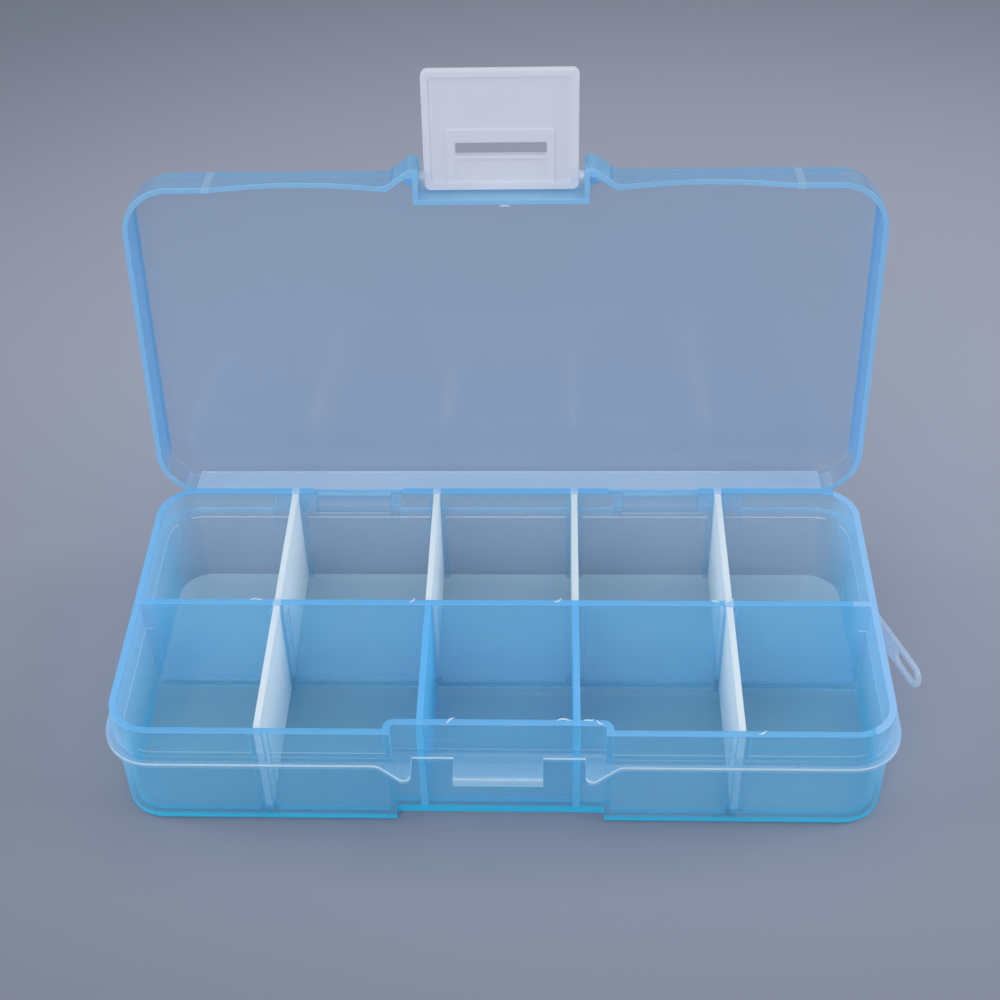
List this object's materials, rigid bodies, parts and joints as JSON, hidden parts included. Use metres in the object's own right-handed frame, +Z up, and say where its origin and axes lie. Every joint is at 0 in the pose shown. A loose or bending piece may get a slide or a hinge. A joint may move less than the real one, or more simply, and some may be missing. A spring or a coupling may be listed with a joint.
{
  "type": "compartment box",
  "caption": "Flat hinged-lid compartment box in translucent plastic with a centre wall, lift-out dividers, a slotted swing latch at the front and a hang loop at one end.",
  "frame": {"origin": "centre of the tray's underside, on the surface it rests on", "axes": "+X along the box towards the hang loop, -Y towards the latch, +Z up; the lid is open, leaning back, at rest"},
  "size_m": [0.1372, 0.0841, 0.0974],
  "materials": {
    "blue_translucent": "smooth moulded, translucent",
    "natural_translucent": "smooth moulded, milky",
    "white_milky": "satin moulded"
  },
  "bodies": {
    "tray_body": {"tray": "blue_translucent"},
    "lid_body": {"lid": "blue_translucent"},
    "latch_body": {"latch": "white_milky"},
    "hang_loop_body": {"hang_loop": "natural_translucent"},
    "divider_back_1_body": {"divider_back_1": "natural_translucent"},
    "divider_back_2_body": {"divider_back_2": "natural_translucent"},
    "divider_back_3_body": {"divider_back_3": "natural_translucent"},
    "divider_back_4_body": {"divider_back_4": "natural_translucent"},
    "divider_front_left_body": {"divider_front_left": "natural_translucent"},
    "divider_front_right_body": {"divider_front_right": "natural_translucent"}
  },
  "joints": [
    {"name": "lid_hinge", "type": "hinge", "parent": "tray_body", "child": "lid_body", "pos_m": [0, 0.03287, 0.01548], "axis": [-1, 0, 0], "range_deg": [-97.8, 0]},
    {"name": "latch_hinge", "type": "hinge", "parent": "lid_body", "child": "latch_body", "pos_m": [0, 0.04668, 0.07856], "axis": [-1, 0, 0], "range_deg": [-90, 120]},
    {"name": "hang_loop_hinge", "type": "hinge", "parent": "tray_body", "child": "hang_loop_body", "pos_m": [0.0648, 0.007, 0.013], "axis": [0, 0, 1], "range_deg": [-21, 155]},
    {"name": "divider_back_1_lift", "type": "slide", "parent": "tray_body", "child": "divider_back_1_body", "axis": [0, 0, 1], "range_m": [0, 0.022]},
    {"name": "divider_back_2_lift", "type": "slide", "parent": "tray_body", "child": "divider_back_2_body", "axis": [0, 0, 1], "range_m": [0, 0.022]},
    {"name": "divider_back_3_lift", "type": "slide", "parent": "tray_body", "child": "divider_back_3_body", "axis": [0, 0, 1], "range_m": [0, 0.022]},
    {"name": "divider_back_4_lift", "type": "slide", "parent": "tray_body", "child": "divider_back_4_body", "axis": [0, 0, 1], "range_m": [0, 0.022]},
    {"name": "divider_front_left_lift", "type": "slide", "parent": "tray_body", "child": "divider_front_left_body", "axis": [0, 0, 1], "range_m": [0, 0.022]},
    {"name": "divider_front_right_lift", "type": "slide", "parent": "tray_body", "child": "divider_front_right_body", "axis": [0, 0, 1], "range_m": [0, 0.022]}
  ]
}
